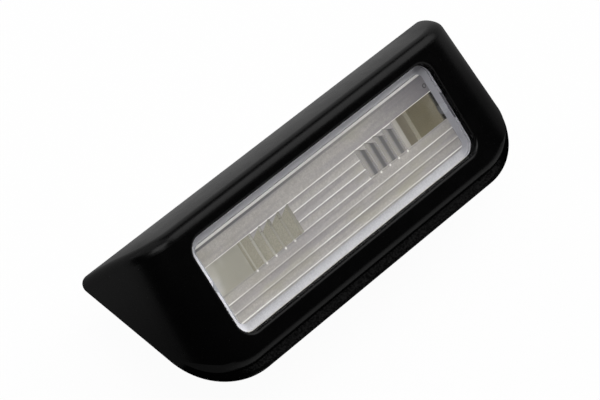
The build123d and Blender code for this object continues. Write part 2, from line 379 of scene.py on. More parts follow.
@dataclass(frozen=True)
class Moulding(Finish):
    """Moulded plastic or rubber: clouds in its colour, an uneven gloss and a fine grain; millimetres."""

    colour: Colour
    shade: Colour
    roughness: float
    spread: float = 0.1
    specular: float = 0.5
    relief: float = 0.01
    grain: Patches = Patches(0.25, 2.0)
    clouds: Patches = Patches(14.0)
    wear: Patches = Patches(3.0, 5.0, (0.3, 0.7))

    def mean_colour(self) -> Colour:
        """Mean of the two colours."""
        return tuple((first + second) / 2 for first, second in zip(self.colour, self.shade))

    def gloss(self, graph: Graph) -> Value:
        """Uneven roughness."""
        return self.wear.paint(graph) * (2 * self.spread) + (self.roughness - self.spread)

    def pits(self, graph: Graph) -> Input:
        """Share of the surface that reflects nothing."""
        return 0.0

    def paint(self, graph: Graph) -> None:
        """Add the clouds, the gloss and the grain.

        Args:
            graph: Graph of the material.
        """
        graph.surface(
            matt=self.pits(graph),
            matt_colour=self.mean_colour(),
            Base_Color=graph.blend(self.clouds.paint(graph), self.colour, self.shade),
            Roughness=self.gloss(graph),
            Specular_IOR_Level=self.specular,
            Normal=graph.bump(self.grain.noise(graph), self.relief),
        )


@dataclass(frozen=True)
class Lipped(Moulding):
    """Moulded plastic whose ends are painted darker as painted shade, with a share that reflects nothing, and with a
    coarser, duller grain on the lip along its foot; millimetres.

    Attributes:
        matt: Share of all the surface that reflects nothing.
        lip_top: Heights between which the lip's grain fades away.
        lip_end: Places, from front to back, between which it fades away on the ends.
        lip_roughness: Roughness that the lip adds.
        specks: Specks on the lip that reflect nothing.
        end_start: Distances from the middle between which the painted shade on the ends grows.
        end_depth: Places, from front to back, between which that painted shade changes.
        end_matt: Share that reflects nothing on the ends, as painted shade, at the front and at the back.
    """

    matt: float = 0.71
    lip_top: Span = (2.25, 2.45)
    lip_end: Span = (-10.0, -7.0)
    lip_roughness: float = 0.25
    specks: Patches = Patches(0.35, cover=(0.14, 0.28))
    end_start: Span = (35.0, 43.0)
    end_depth: Span = (-6.0, 16.0)
    end_matt: Span = (0.2, 0.08)

    def ends(self, graph: Graph) -> Value:
        """Share that reflects nothing on the two ends, as painted shade, and 0 between them."""
        across = graph.ramp(abs(graph.along(X_AXIS)), *self.end_start)
        # Painted shade: the ends reflect less, most of all at the front.
        return across * graph.ramp(graph.along(Y_AXIS), *self.end_depth, *self.end_matt)

    def lip(self, graph: Graph) -> Value:
        """1 on the lip along the foot, and 0 above it and further up the ends."""
        low = graph.ramp(graph.along(Z_AXIS), *self.lip_top, 1.0, 0.0)
        return low * graph.ramp(graph.along(Y_AXIS), *self.lip_end, 1.0, 0.0)

    def gloss(self, graph: Graph) -> Value:
        """Uneven roughness, higher on the lip."""
        return super().gloss(graph) + self.lip(graph) * self.lip_roughness

    def pits(self, graph: Graph) -> Value:
        """Share of the surface that reflects nothing, with the specks and with the painted shade on the ends."""
        return self.specks.paint(graph) * self.lip(graph) + self.ends(graph) + self.matt


@dataclass(frozen=True)
class Clear(Finish):
    """Clear plastic or glass with faint flow lines and a patchy haze; millimetres."""

    colour: Colour = (0.97, 0.97, 0.96)
    roughness: float = 0.02
    haze: float = 0.05
    index: float = 1.5
    ripple: float = 0.004
    patches: Patches = Patches(5.0, 4.0, (0.45, 0.75))
    flow: Patches = Patches(6.0, 1.0, stretch=(0.3, 1.0, 1.0))

    def paint(self, graph: Graph) -> None:
        """Let light through, with an uneven haze.

        Args:
            graph: Graph of the material.
        """
        graph.surface(
            Base_Color=self.colour,
            Roughness=self.patches.paint(graph) * self.haze + self.roughness,
            IOR=self.index,
            Transmission_Weight=1.0,
            Normal=graph.bump(self.flow.noise(graph), self.ripple),
        )


@dataclass(frozen=True)
class Frosted(Finish):
    """Partly clear plastic with a diffusing grain in its colour and its relief; millimetres."""

    colour: Colour
    shade: Colour
    clarity: float
    roughness: float = 0.55
    grain: float = 0.3
    detail: float = 1.0
    contrast: Span = (0.4, 0.6)
    relief: float = 0.03
    index: float = 1.5

    def grains(self) -> Patches:
        """The grain as patches."""
        return Patches(self.grain, self.detail, self.contrast)

    def tint(self, graph: Graph) -> Value:
        """Colour of the surface."""
        return graph.blend(self.grains().paint(graph), self.colour, self.shade)

    def paint(self, graph: Graph) -> None:
        """Add the colour and the grain.

        Args:
            graph: Graph of the material.
        """
        graph.surface(
            Base_Color=self.tint(graph),
            Roughness=self.roughness,
            Transmission_Weight=self.clarity,
            IOR=self.index,
            Normal=graph.bump(self.grains().noise(graph), self.relief),
        )


@dataclass(frozen=True)
class Patterned(Frosted):
    """Frosted plastic with painted highlights and painted shadows that follow the lens's own lines; millimetres.

    Attributes:
        lens: The lens whose lines the marks follow.
        highlight: Colour of painted highlights.
        dark: Colour of painted shadows and painted shade.
        core: Distance from a mark's middle, in widths, within which it covers fully.
        fringe: Distance from its middle, in widths, at which it ends.
        half_blur: Distance from the lens's middle within which left turns into right.
        wide_gap: Width of the painted highlights in the two wide gaps beside the outermost prism on the right.
        wide_gap_places: Their places, in prisms from the innermost one.
        wide_gap_cover: How well they cover.
    """

    lens: Lens = field(kw_only=True)
    # Colour of the painted highlights.
    bright: Colour = (1.0, 0.99, 0.97)
    # Colour of the painted shadows and painted shade.
    dark: Colour = (0.12, 0.12, 0.13)
    core: float = 0.3
    fringe: float = 0.7
    half_blur: float = 1.0
    wide_gap: float = 1.0
    wide_gap_places: Span = (4.37, 5.49)
    wide_gap_cover: float = 0.85

    def rise(self, graph: Graph) -> Value:
        """Height above the middle of the lens."""
        return graph.along(self.lens.up()) - self.lens.middle()

    def across(self, graph: Graph) -> Value:
        """Place along the lens."""
        return graph.along(X_AXIS)

    def right(self, graph: Graph) -> Value:
        """1 on the right half of the lens, and 0 on the left."""
        return graph.ramp(self.across(graph), -self.half_blur, self.half_blur)

    def strip(self, graph: Graph) -> Value:
        """Number of prisms from the innermost one."""
        return (abs(self.across(graph)) - self.lens.prism_start) / self.lens.prism_pitch

    def nearest(self, graph: Graph, count: Value, first: int, last: int) -> Value:
        """How far a count is from the nearest whole number within limits."""
        limits = {"Value": round(count), "Min": float(first), "Max": float(last)}
        return abs(count - graph.add("ShaderNodeClamp", None, limits))

    def mark(self, graph: Graph, under: Value, distance: Value, width: float, colour: Colour,
             cover: Input) -> Value:
        """Paint a soft mark.

        Args:
            graph: Graph of the material.
            under: Colour beneath the mark.
            distance: Distance from the middle of the mark.
            width: Width of the mark.
            colour: Colour of the mark.
            cover: How well it covers.

        Returns:
            The colour with the mark on it.
        """
        factor = graph.ramp(distance, self.core * width, self.fringe * width, 1.0, 0.0) * cover
        return graph.blend(factor, under, colour)

    def wide_gaps(self, graph: Graph, under: Value, colour: Colour) -> Value:
        """Put painted highlights in the two wide gaps on both sides of the outermost prism on the right.

        Args:
            graph: Graph of the material.
            under: Colour beneath the gaps.
            colour: Colour of the painted highlights.

        Returns:
            The colour with the gaps on it.
        """
        cover = self.right(graph) * self.wide_gap_cover
        for place in self.wide_gap_places:
            distance = abs(self.strip(graph) - place) * self.lens.prism_pitch
            # Painted highlight in each wide gap.
            under = self.mark(graph, under, distance, self.wide_gap, colour, cover)
        return under


@dataclass(frozen=True)
class Fluted(Patterned):
    """Frosted lens face: uneven plastic, painted highlights with painted shadows in its grooves and inside the rim,
    painted glints, and painted shade in its upper right corner; millimetres.

    Attributes:
        mottle: Colour of the mottles.
        mottles: Small dark mottles.
        streak: Colour of the streaks.
        streaks: Streaks along the lens.
        blotch: Colour of the blotches.
        blotches: Large warm blotches.
        dim: Colour of the painted shade in the upper right corner.
        dim_up: How well that painted shade covers at the foot and at the head of the prisms.
        dim_across: How well it covers at the innermost prism and at the lens's end.
        line: Width of the painted highlight in a groove.
        shine: How well that painted highlight covers.
        line_shadow: How well its painted shadow covers.
        rim_line: Width of the painted highlight inside the rim.
        rim_shadow: How well its painted shadow covers on the left and on the right.
        spark: Width of a spark, a painted glint, below the prisms.
    """

    mottle: Colour = (0.36, 0.34, 0.33)
    mottles: Patches = Patches(0.8, 4.0, cover=(0.0, 0.45))
    streak: Colour = (0.33, 0.31, 0.335)
    streaks: Patches = Patches(1.3, 2.0, (0.42, 0.66), (0.0, 0.6), (0.05, 1.0, 1.0))
    blotch: Colour = (0.4, 0.385, 0.31)
    blotches: Patches = Patches(9.0, 2.0, (0.5, 0.72), (0.0, 0.7), (0.6, 1.5, 1.5))
    # Colour of the painted shade in the upper right corner.
    dim: Colour = (0.15, 0.142, 0.165)
    dim_up: Span = (0.3, 1.0)
    dim_across: Span = (0.0, 0.85)
    line: float = 0.26
    shine: Patches = Patches(2.0, 1.0, (0.4, 0.6), (0.4, 0.95), (0.08, 1.0, 1.0))
    line_shadow: float = 0.3
    rim_line: float = 0.55
    rim_shadow: Span = (0.9, 0.3)
    spark: float = 0.6

    def tint(self, graph: Graph) -> Value:
        """Colour of the face with all its marks, among them painted highlights, shadows and shade."""
        colour = self.grooves(graph, self.ground(graph))
        return self.sparks(graph, self.rim_lines(graph, colour))

    def ground(self, graph: Graph) -> Value:
        """Paint the uneven plastic under the marks, with painted shade in the upper right corner.

        Args:
            graph: Graph of the material.

        Returns:
            Its colour.
        """
        lens = self.lens
        colour = graph.blend(self.mottles.paint(graph), super().tint(graph), self.mottle)
        colour = graph.blend(self.streaks.paint(graph), colour, self.streak)
        colour = graph.blend(self.blotches.paint(graph), colour, self.blotch)
        # Painted shade: the upper right corner darkens towards the head of the prisms and the lens's end.
        up = graph.ramp(self.rise(graph), lens.prism_foot(), lens.prism_head(), *self.dim_up)
        across = graph.ramp(self.across(graph), lens.prism_start, lens.inner_half(), *self.dim_across)
        return graph.blend(up * across, colour, self.dim)

    def grooves(self, graph: Graph, under: Value) -> Value:
        """Put a painted highlight with its painted shadow in each groove; the highlight breaks at the foot of the
        prisms.

        Args:
            graph: Graph of the material.
            under: Colour beneath the lines.

        Returns:
            The colour with the lines on it.
        """
        lens = self.lens
        pitch = lens.flute_pitch
        first, last = lens.full_flutes[0], lens.middle_flutes[1]
        rise = self.rise(graph)
        count = (rise - lens.flute_line(0)) / pitch
        # Painted shadow beside each groove, then a painted highlight in it.
        shadow = self.nearest(graph, count + self.line / pitch, first, last) * pitch
        colour = self.mark(graph, under, shadow, self.line, self.dark, self.line_shadow)
        side = graph.ramp(abs(self.across(graph)), lens.prism_start - self.line, lens.prism_start)
        foot = graph.ramp(abs(rise - lens.prism_foot()), self.line, 2 * self.line, 1.0, 0.0)
        cover = self.shine.paint(graph) * (1 - foot * side)
        groove = self.nearest(graph, count, first, last) * pitch
        return self.mark(graph, colour, groove, self.line, self.bright, cover)

    def rim_lines(self, graph: Graph, under: Value) -> Value:
        """Put a painted highlight inside the rim's upper side, with its painted shadow.

        Args:
            graph: Graph of the material.
            under: Colour beneath the lines.

        Returns:
            The colour with the lines on it.
        """
        third = self.lens.length / 3
        above = self.rise(graph) - (self.lens.inner_rise() - self.rim_line / 2)
        cover = graph.ramp(self.across(graph), -third, third, *self.rim_shadow)
        # Painted shadow under the rim, then the painted highlight.
        colour = self.mark(graph, under, abs(above + self.rim_line), self.rim_line, self.dark, cover)
        return self.mark(graph, colour, abs(above), self.rim_line, self.bright, 1.0)

    def sparks(self, graph: Graph, under: Value) -> Value:
        """Put a spark, a painted glint, below the outer edge of each prism but the outermost one on the right.

        Args:
            graph: Graph of the material.
            under: Colour beneath the sparks.

        Returns:
            The colour with the sparks on it.
        """
        lens = self.lens
        beside = self.nearest(graph, self.strip(graph), 1, lens.prism_count) * lens.prism_pitch
        below = abs(self.rise(graph) - lens.prism_foot() + self.spark / 2)
        last = lens.prism_edge() - lens.prism_pitch
        cover = graph.ramp(self.across(graph), last, last + lens.prism_pitch / 2, 1.0, 0.0)
        # Painted glint.
        return self.mark(graph, under, beside + below, self.spark, self.bright, cover)


@dataclass(frozen=True)
class Ribbed(Patterned):
    """Cross prisms of the lens: khaki strips with painted highlights in the gaps between them, greyer on the right,
    where painted shadows make them sharper; millimetres.

    Attributes:
        grey: Colour of the strips on the right.
        mottles: How well the grey covers.
        olive: Colour of the outermost strip on the right.
        olive_cover: How well it covers.
        olive_blur: How far it fades, in prisms.
        shadow: Width of the painted shadow on each strip on the right.
        shadow_place: Its place within the strip, in prisms.
        shadow_cover: How well it covers.
        pale: Colour of the painted highlights in the gaps on the right.
        pale_place: Place of a gap within its strip on the right, in prisms.
        pale_cover: How well it covers.
        gap: Width of the painted highlight in a gap on the left.
        gap_cover: How well the inner and the outer gaps cover on the left.
        gap_change: Places between which that changes, in prisms from the innermost one.
        last_gap_cover: How well the outermost gap on the left covers.
        last_gap_change: Places between which that takes over.
    """

    grey: Colour = (0.3, 0.29, 0.31)
    mottles: Patches = Patches(0.5, 2.0, cover=(0.4, 1.0))
    olive: Colour = (0.13, 0.11, 0.075)
    olive_cover: float = 0.85
    olive_blur: float = 0.1
    shadow: float = 0.8
    shadow_place: float = 0.6
    shadow_cover: float = 0.9
    # Colour of the painted highlights in the gaps on the right.
    pale: Colour = (0.5, 0.48, 0.45)
    pale_place: float = 0.15
    pale_cover: float = 0.4
    gap: float = 0.4
    gap_cover: Span = (0.3, 0.55)
    gap_change: Span = (1.5, 4.0)
    last_gap_cover: float = 0.18
    last_gap_change: Span = (4.5, 4.8)

    def tint(self, graph: Graph) -> Value:
        """Colour of the strips and of the painted highlights in the gaps between them."""
        return self.left_gaps(graph, self.strips(graph))

    def strips(self, graph: Graph) -> Value:
        """Paint the strips with their painted shadows on the right, and the painted highlights in the gaps there.

        Args:
            graph: Graph of the material.

        Returns:
            Their colour.
        """
        pitch = self.lens.prism_pitch
        strip = self.strip(graph)
        right = self.right(graph)
        edge = self.wide_gap_places[0]
        outer = graph.ramp(strip, edge - self.olive_blur, edge + self.olive_blur)
        inner = right * (1 - outer)
        colour = graph.blend(inner * self.mottles.paint(graph), super().tint(graph), self.grey)
        colour = graph.blend(right * outer * self.olive_cover, colour, self.olive)
        part = graph.add("ShaderNodeMath", {"operation": "FRACT"}, {0: strip})
        # Painted shadow on each strip on the right.
        shadow = abs(part - self.shadow_place) * pitch
        colour = self.mark(graph, colour, shadow, self.shadow, self.dark, inner * self.shadow_cover)
        # Painted highlight in each gap on the right.
        pale = abs(part - self.pale_place) * pitch
        colour = self.mark(graph, colour, pale, self.wide_gap, self.pale, inner * self.pale_cover)
        return self.wide_gaps(graph, colour, self.pale)

    def left_gaps(self, graph: Graph, under: Value) -> Value:
        """Put painted highlights in the gaps between the strips on the left.

        Args:
            graph: Graph of the material.
            under: Colour beneath the gaps.

        Returns:
            The colour with the gaps on it.
        """
        strip = self.strip(graph)
        drop = self.gap_cover[1] - self.last_gap_cover
        cover = graph.ramp(strip, *self.gap_change, *self.gap_cover)
        cover -= graph.ramp(strip, *self.last_gap_change, 0.0, drop)
        gap = self.nearest(graph, strip, 0, self.lens.prism_count) * self.lens.prism_pitch
        return self.mark(graph, under, gap, self.gap, self.bright, (1 - self.right(graph)) * cover)


@dataclass(frozen=True)
class Pane(Patterned):
    """Clear window beside the prisms on the right, with brown painted shade where the tray behind it is in shade,
    painted highlights in the gaps beside the prisms and painted shade at its end; millimetres.
    """

    # Painted shade: brown where the tray behind the window is in shade.
    stain: Colour = (0.33, 0.29, 0.2)
    stain_place: float = 3.5
    stain_width: float = 7.5
    stain_cover: float = 0.7
    # Colour of the painted highlights in the gaps beside the prisms.
    pale: Colour = (1.0, 0.97, 0.9)
    # Painted shade at the window's end, beside the skirt.
    end_width: float = 0.9
    end_cover: float = 0.9

    def tint(self, graph: Graph) -> Value:
        """Paint the window with its brown painted shade, the painted highlight in the gap beside it and the painted
        shade at its end.

        Args:
            graph: Graph of the material.

        Returns:
            Its colour.
        """
        lens = self.lens
        beside = abs(self.strip(graph) - lens.prism_count) * lens.prism_pitch
        # Painted shade of the tray behind the window.
        stain = abs(beside - self.stain_place)
        under = super().tint(graph)
        colour = self.mark(graph, under, stain, self.stain_width, self.stain, self.stain_cover)
        colour = self.wide_gaps(graph, colour, self.pale)
        # Painted shade at the window's end.
        end = abs(self.across(graph) - lens.inner_half() + self.end_width / 2)
        return self.mark(graph, colour, end, self.end_width, self.dark, self.end_cover)


@dataclass(frozen=True)
class Edging(Patterned):
    """Moulded edge of the lens: painted light along its top and at its left end, which the housing's edge shades, and
    painted shade at its right end.
    """

    # Painted light on the top and on the left end.
    pale: Colour = (0.82, 0.82, 0.87)
    # Painted shade on the right end.
    dull: Colour = (0.4, 0.4, 0.44)

    def tint(self, graph: Graph) -> Value:
        """Paint the edge by its place.

        Args:
            graph: Graph of the material.

        Returns:
            Its colour.
        """
        end = self.lens.inner_half()
        across = self.across(graph)
        high = graph.ramp(self.rise(graph), 0.0, self.lens.inner_rise())
        left = graph.ramp(across, -end, -end + self.lens.skirt, 1.0, 0.0)
        right = graph.ramp(across, end - self.lens.skirt, end)
        colour = graph.blend(graph.highest(high, left), super().tint(graph), self.pale)
        return graph.blend(right, colour, self.dull)


class Brushing(Enum):
    """Direction in which a metal's rolling lines run, as how fine they are along each axis."""

    ALONG_X = (0.05, 1.0, 1.0)
    ALONG_Y = (1.0, 0.05, 1.0)


@dataclass(frozen=True)
class Metal(Finish):
    """Rolled or plated metal with fine lines and dull patches that add to its roughness; millimetres."""

    colour: Colour
    tarnish: Colour
    roughness: float
    brushing: Brushing = Brushing.ALONG_Y
    relief: float = 0.004
    line: float = 0.12
    line_detail: float = 2.0
    line_roughness: float = 0.12
    patches: Patches = Patches(2.5, 5.0, (0.45, 0.7))
    patch_roughness: float = 0.1

    def paint(self, graph: Graph) -> None:
        """Add the lines, the tarnish and the uneven gloss.

        Args:
            graph: Graph of the material.
        """
        lines = Patches(self.line, self.line_detail, stretch=self.brushing.value).noise(graph)
        patches = self.patches.paint(graph)
        graph.surface(
            Base_Color=graph.blend(patches, self.colour, self.tarnish),
            Metallic=1.0,
            Roughness=lines * self.line_roughness + patches * self.patch_roughness + self.roughness,
            Normal=graph.bump(lines, self.relief),
        )


@dataclass(frozen=True)
class SubAssembly:
    """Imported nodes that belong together; each field is the finish of the nodes of that name."""

    def dress(self, nodes: dict[str, bpy.types.Object]) -> None:
        """Give the nodes their finishes, a left and a right one the same.

        Args:
            nodes: The frame's nodes by name.
        """
        for kind, finish in vars(self).items():
            material = finish.material()
            for name in (kind, f"{kind}_left", f"{kind}_right"):
                if name in nodes:
                    nodes[name].data.materials.clear()
                    nodes[name].data.materials.append(material)
                    LOG.info("%s: %s", name, finish.name)


@dataclass(frozen=True)
class Casing(SubAssembly):
    """Housing and tray, with the soft rings that seal the lens and the panel."""

    housing: Finish = Lipped(
        "black moulding", (0.0008, 0.0008, 0.0009), (0.0012, 0.0012, 0.0012), 0.27, spread=0.02)
    lens_seal: Finish = Moulding("dark seal", (0.05, 0.05, 0.055), (0.035, 0.035, 0.04), 0.6)
    bulb_tray: Finish = Moulding("pale moulding", (0.6, 0.57, 0.46), (0.53, 0.505, 0.41), 0.4)
    panel_gasket: Finish = Moulding(
        "foam rubber", (0.012, 0.012, 0.013), (0.02, 0.02, 0.02), 0.85, spread=0.05, specular=0.3,
        relief=0.08, grain=Patches(0.5, 2.0))


@dataclass(frozen=True)
class Bulb(SubAssembly):
    """Tubular bulb."""

    bulb_glass: Finish = Clear("bulb glass", (0.98, 0.98, 0.98), roughness=0.0, haze=0.02)
    bulb_filament: Finish = Metal("tungsten", (0.35, 0.34, 0.33), (0.22, 0.21, 0.2), 0.4)
    bulb_cap: Finish = Metal("nickel", (0.72, 0.7, 0.66), (0.55, 0.52, 0.46), 0.22, Brushing.ALONG_X)


@dataclass(frozen=True)
class Fixings(SubAssembly):
    """Strips that hold and feed the bulb, their rivets, and the clips that hold the lamp."""

    contact: Finish = Metal("tinned brass strip", (0.66, 0.62, 0.52), (0.5, 0.44, 0.34), 0.35)
    contact_rivets: Finish = Metal("tinned brass", (0.7, 0.66, 0.58), (0.5, 0.44, 0.34), 0.3)
    spring_clip: Finish = Metal("spring steel", (0.5, 0.51, 0.53), (0.42, 0.43, 0.45), 0.25)


class Area(Enum):
    """Parts of the lens that have a finish of their own, by material number."""

    CLEAR = 0
    FIELD = 1
    PRISM = 2
    WINDOW = 3
    RIM = 4
    # WALL is a dark finish: painted shade on the walls inside the skirt at the right end; the ring mark takes it too.
    WALL = 5
    NIB = 6
    MILKY = 7


@dataclass(frozen=True)
class Lens:
    """Clear lens plate with a skirt; flutes and cross prisms on its inner face; millimetres and degrees.

    Attributes:
        full_flutes: First and last line of the flutes that run from end to end.
        middle_flutes: First and last line of those between the prisms.
        prism_rows: Flute lines at the foot and at the head of the prisms.
        prism_slant: How far the head of a prism drops across it.
        prism_margin: Strip beside the outermost prism that is finished like the prisms.
        nib_shift: How far both nibs sit to the right.
        ring: Inner and outer radius of the ring mark.
        lug: Reach, width and height of the snap lug at each end.
        draft: How far a moulded step slopes.
        tolerance: Distance within which a point counts as on the inner face.
        merge: Distance within which a cut takes in a corner.
        sharp: Angle from which an edge stays sharp.
    """

    tilt: float = 24.6
    length: float = 70.0
    height: float = 21.8
    depth: float = 2.38
    thickness: float = 1.8
    corner: float = 3.2
    corner_segments: int = 10
    edge: float = 0.3
    edge_segments: int = 3
    skirt: float = 1.75
    flute_pitch: float = 2.2
    flute_depth: float = 0.12
    flute_lift: float = 0.1
    flute_cuts: int = 8
    full_flutes: tuple[int, int] = (-4, -2)
    middle_flutes: tuple[int, int] = (-2, 2)
    prism_rows: tuple[int, int] = (-1, 2)
    prism_start: float = 10.1
    prism_pitch: float = 2.7
    prism_count: int = 5
    prism_depth: float = 0.8
    prism_slant: float = 1.5
    prism_step: float = 0.45
    prism_margin: float = 0.8
    nib: float = 1.15
    nib_shift: float = 0.5
    nib_segments: int = 32
    ring: Span = (0.3, 0.5)
    ring_place: Span = (32.6, 6.2)
    ring_segments: int = 24
    lug: tuple[float, float, float] = (0.7, 6.0, 1.2)
    lug_top: float = 0.8
    draft: float = 0.05
    tolerance: float = 0.005
    merge: float = 1e-5
    sharp: float = 25.0

    def finishes(self) -> dict[Area, Finish]:
        """Choose the finishes.

        Returns:
            The finish of each area.
        """
        return {
            Area.CLEAR: Clear("clear lens"),
            Area.FIELD: Fluted(
                "lens field", (0.53, 0.505, 0.485), (0.45, 0.43, 0.415), 0.3, grain=0.35, lens=self),
            Area.PRISM: Ribbed("lens prisms", (0.3, 0.285, 0.225), (0.26, 0.245, 0.19), 0.3, lens=self),
            Area.WINDOW: Pane(
                "lens window", (0.66, 0.63, 0.55), (0.56, 0.52, 0.43), 0.88, 0.2, grain=4.0, lens=self),
            # Rim with painted light at its top and left end and painted shade at its right end.
            Area.RIM: Edging("lens rim", (0.57, 0.57, 0.595), (0.5, 0.5, 0.53), 0.1, lens=self),
            # Dark finish, painted shade inside the skirt at the right end.
            Area.WALL: Frosted("lens wall", (0.05, 0.05, 0.055), (0.03, 0.03, 0.034), 0.2),
            Area.NIB: Frosted("lens nib", (0.46, 0.47, 0.5), (0.4, 0.41, 0.44), 0.2),
            Area.MILKY: Frosted(
                "milky window", (0.56, 0.545, 0.505), (0.41, 0.4, 0.35), 0.4, 0.4, grain=5.0),
        }

    def up(self) -> Axis:
        """Direction up the lens's face."""
        return (0.0, math.cos(math.radians(self.tilt)), math.sin(math.radians(self.tilt)))

    def middle(self) -> float:
        """Place of the lens's middle along that direction."""
        return self.place().translation.dot(Vector(self.up())) / MM

    def inner_half(self) -> float:
        """Half the length inside the skirt."""
        return self.length / 2 - self.skirt

    def inner_rise(self) -> float:
        """Half the height inside the skirt."""
        return self.height / 2 - self.skirt

    def flute_line(self, index: int) -> float:
        """Height of a flute line above the middle of the lens."""
        return self.flute_lift + index * self.flute_pitch

    def prism_foot(self) -> float:
        """Height of the prisms' foot above the middle of the lens."""
        return self.flute_line(self.prism_rows[0])

    def prism_head(self) -> float:
        """Height of the prisms' head above the middle of the lens."""
        return self.flute_line(self.prism_rows[1])

    def prism_edge(self) -> float:
        """Distance of the outermost prism's outer edge from the middle."""
        return self.prism_start + self.prism_count * self.prism_pitch

    def prism_end(self, across: float) -> float:
        """Find the upper end of the prisms; it slants across each but the last.

        Args:
            across: Distance from the middle of the lens.

        Returns:
            Its height above the middle.
        """
        strip = (across - self.prism_start) / self.prism_pitch
        drop = self.prism_slant * (strip % 1.0) if strip < self.prism_count - 1 else 0.0
        return self.prism_head() - drop

    def is_window(self, x: float, rise: float) -> bool:
        """Whether a point of the inner face is in the prisms or in the windows beside them."""
        return abs(x) > self.prism_start and self.prism_foot() < rise < self.prism_end(abs(x))

    def area(self, x: float, rise: float) -> Area:
        """Find the area of a point of the inner face.

        Args:
            x: Place along the lens.
            rise: Height above its middle.

        Returns:
            The area.
        """
        if not self.is_window(x + math.copysign(self.draft, x), rise):
            return Area.FIELD
        if abs(x) < self.prism_edge() + self.prism_margin:
            return Area.PRISM
        return Area.WINDOW if x > 0 else Area.MILKY

    def face_area(self, face: bmesh.types.BMFace) -> Area:
        """Find the area of a face of the plate, before its relief is raised.

        Args:
            face: Face of the plate.

        Returns:
            The area; the walls inside the skirt take a dark finish on the right, as painted shade.
        """
        middle = face.calc_center_median()
        if self.on_floor(face):
            return self.area(middle.x, middle.y)
        if middle.z < self.draft - self.depth:
            return Area.RIM
        along = abs(middle.x) < self.inner_half() + self.draft
        up = abs(middle.y) <= self.inner_rise() + self.draft
        if middle.z < -self.thickness and along and up:
            # Painted shade on the right; the left walls take the rim.
            return Area.WALL if middle.x > 0 else Area.RIM
        return Area.CLEAR

    def relief(self, x: float, rise: float) -> float:
        """Find how far the inner face stands in from the plate's back.

        Args:
            x: Place along the lens.
            rise: Height above its middle.

        Returns:
            Height of the relief.
        """
        across = abs(x)
        if across > self.inner_half() - self.draft / 2:
            return 0.0
        low, high = (self.flute_line(row) for row in self.full_flutes)
        top = self.flute_line(self.middle_flutes[1])
        if low <= rise <= high or (high <= rise <= top and across < self.prism_start):
            phase = (rise - self.flute_lift) / self.flute_pitch % 1.0
            return self.flute_depth * (1 - (2 * phase - 1) ** 2)
        strip = (across - self.prism_start) / self.prism_pitch
        if self.is_window(x, rise) and strip < self.prism_count:
            return self.prism_depth * (1 - strip % 1.0)
        return 0.0

    def place(self) -> Matrix:
        """Find where the lens sits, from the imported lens.

        Returns:
            Matrix from the lens's own millimetres to the frame.
        """
        low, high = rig.box("lens")
        slope = math.radians(self.tilt)
        normal = Vector((0, -math.sin(slope), math.cos(slope)))
        middle = (Vector(low) + Vector(high)) / 2 + normal * self.depth / 2 * MM
        return Matrix.Translation(middle) @ Matrix.Rotation(slope, 4, "X") @ Matrix.Scale(MM, 4)

    def plate(self) -> bmesh.types.BMesh:
        """Build the plate with its rounded corners and its skirt.

        Returns:
            Its mesh, with the front at height 0.
        """
        bm = bmesh.new()
        bmesh.ops.create_cube(bm, size=1.0)
        bmesh.ops.scale(bm, vec=(self.length, self.height, self.depth), verts=bm.verts)
        bmesh.ops.translate(bm, vec=(0, 0, -self.depth / 2), verts=bm.verts)
        uprights = [edge for edge in bm.edges if abs(edge.verts[0].co.z - edge.verts[1].co.z) > self.edge]
        bmesh.ops.bevel(bm, geom=uprights, offset=self.corner, affect="EDGES",
                        segments=self.corner_segments, profile=0.5, material=-1)
        front = max(bm.faces, key=lambda face: face.calc_center_median().z)
        bmesh.ops.bevel(bm, geom=list(front.edges), offset=self.edge, affect="EDGES",
                        segments=self.edge_segments, profile=0.5, material=-1)
        back = min(bm.faces, key=lambda face: face.calc_center_median().z)
        bmesh.ops.inset_region(bm, faces=[back], thickness=self.skirt)
        floor = bmesh.ops.extrude_face_region(bm, geom=[back])
        bmesh.ops.delete(bm, geom=[back], context="FACES_ONLY")
        lifted = [item for item in floor["geom"] if isinstance(item, bmesh.types.BMVert)]
        bmesh.ops.translate(bm, vec=(0, 0, self.depth - self.thickness), verts=lifted)
        return bm

    def on_floor(self, item: bmesh.types.BMVert | bmesh.types.BMFace) -> bool:
        """Whether a corner or face lies on the flat inner face."""
        point = item.co if isinstance(item, bmesh.types.BMVert) else item.calc_center_median()
        return abs(point.z + self.thickness) < self.tolerance

    def cut(self, bm: bmesh.types.BMesh, point: Span, normal: Span, span: Span | None = None) -> None:
        """Cut the inner face along a line.

        Args:
            bm: Mesh of the lens.
            point: A point of the line.
            normal: Direction square to it.
            span: Limits along the lens of the faces to cut; all of them if left out.
        """
        faces = [face for face in bm.faces if self.on_floor(face)]
        if span:
            faces = [face for face in faces if min(span) < face.calc_center_median().x < max(span)]
        edges = {edge for face in faces for edge in face.edges}
        corners = {corner for face in faces for corner in face.verts}
        bmesh.ops.bisect_plane(bm, geom=[*faces, *edges, *corners], plane_co=(*point, 0),
                               plane_no=(*normal, 0), dist=self.merge)

    def cut_flutes(self, bm: bmesh.types.BMesh) -> None:
        """Cut the inner face along its flutes and along the foot and head of the prisms.

        Args:
            bm: Mesh of the lens.
        """
        first, last = self.full_flutes[0], self.middle_flutes[1]
        for step in range((last - first) * self.flute_cuts + 1):
            self.cut(bm, (0, self.flute_line(first) + step * self.flute_pitch / self.flute_cuts), (0, 1))
        for row in self.prism_rows:
            for side in (-1, 1):
                self.cut(bm, (0, self.flute_line(row) + side * self.draft), (0, 1))

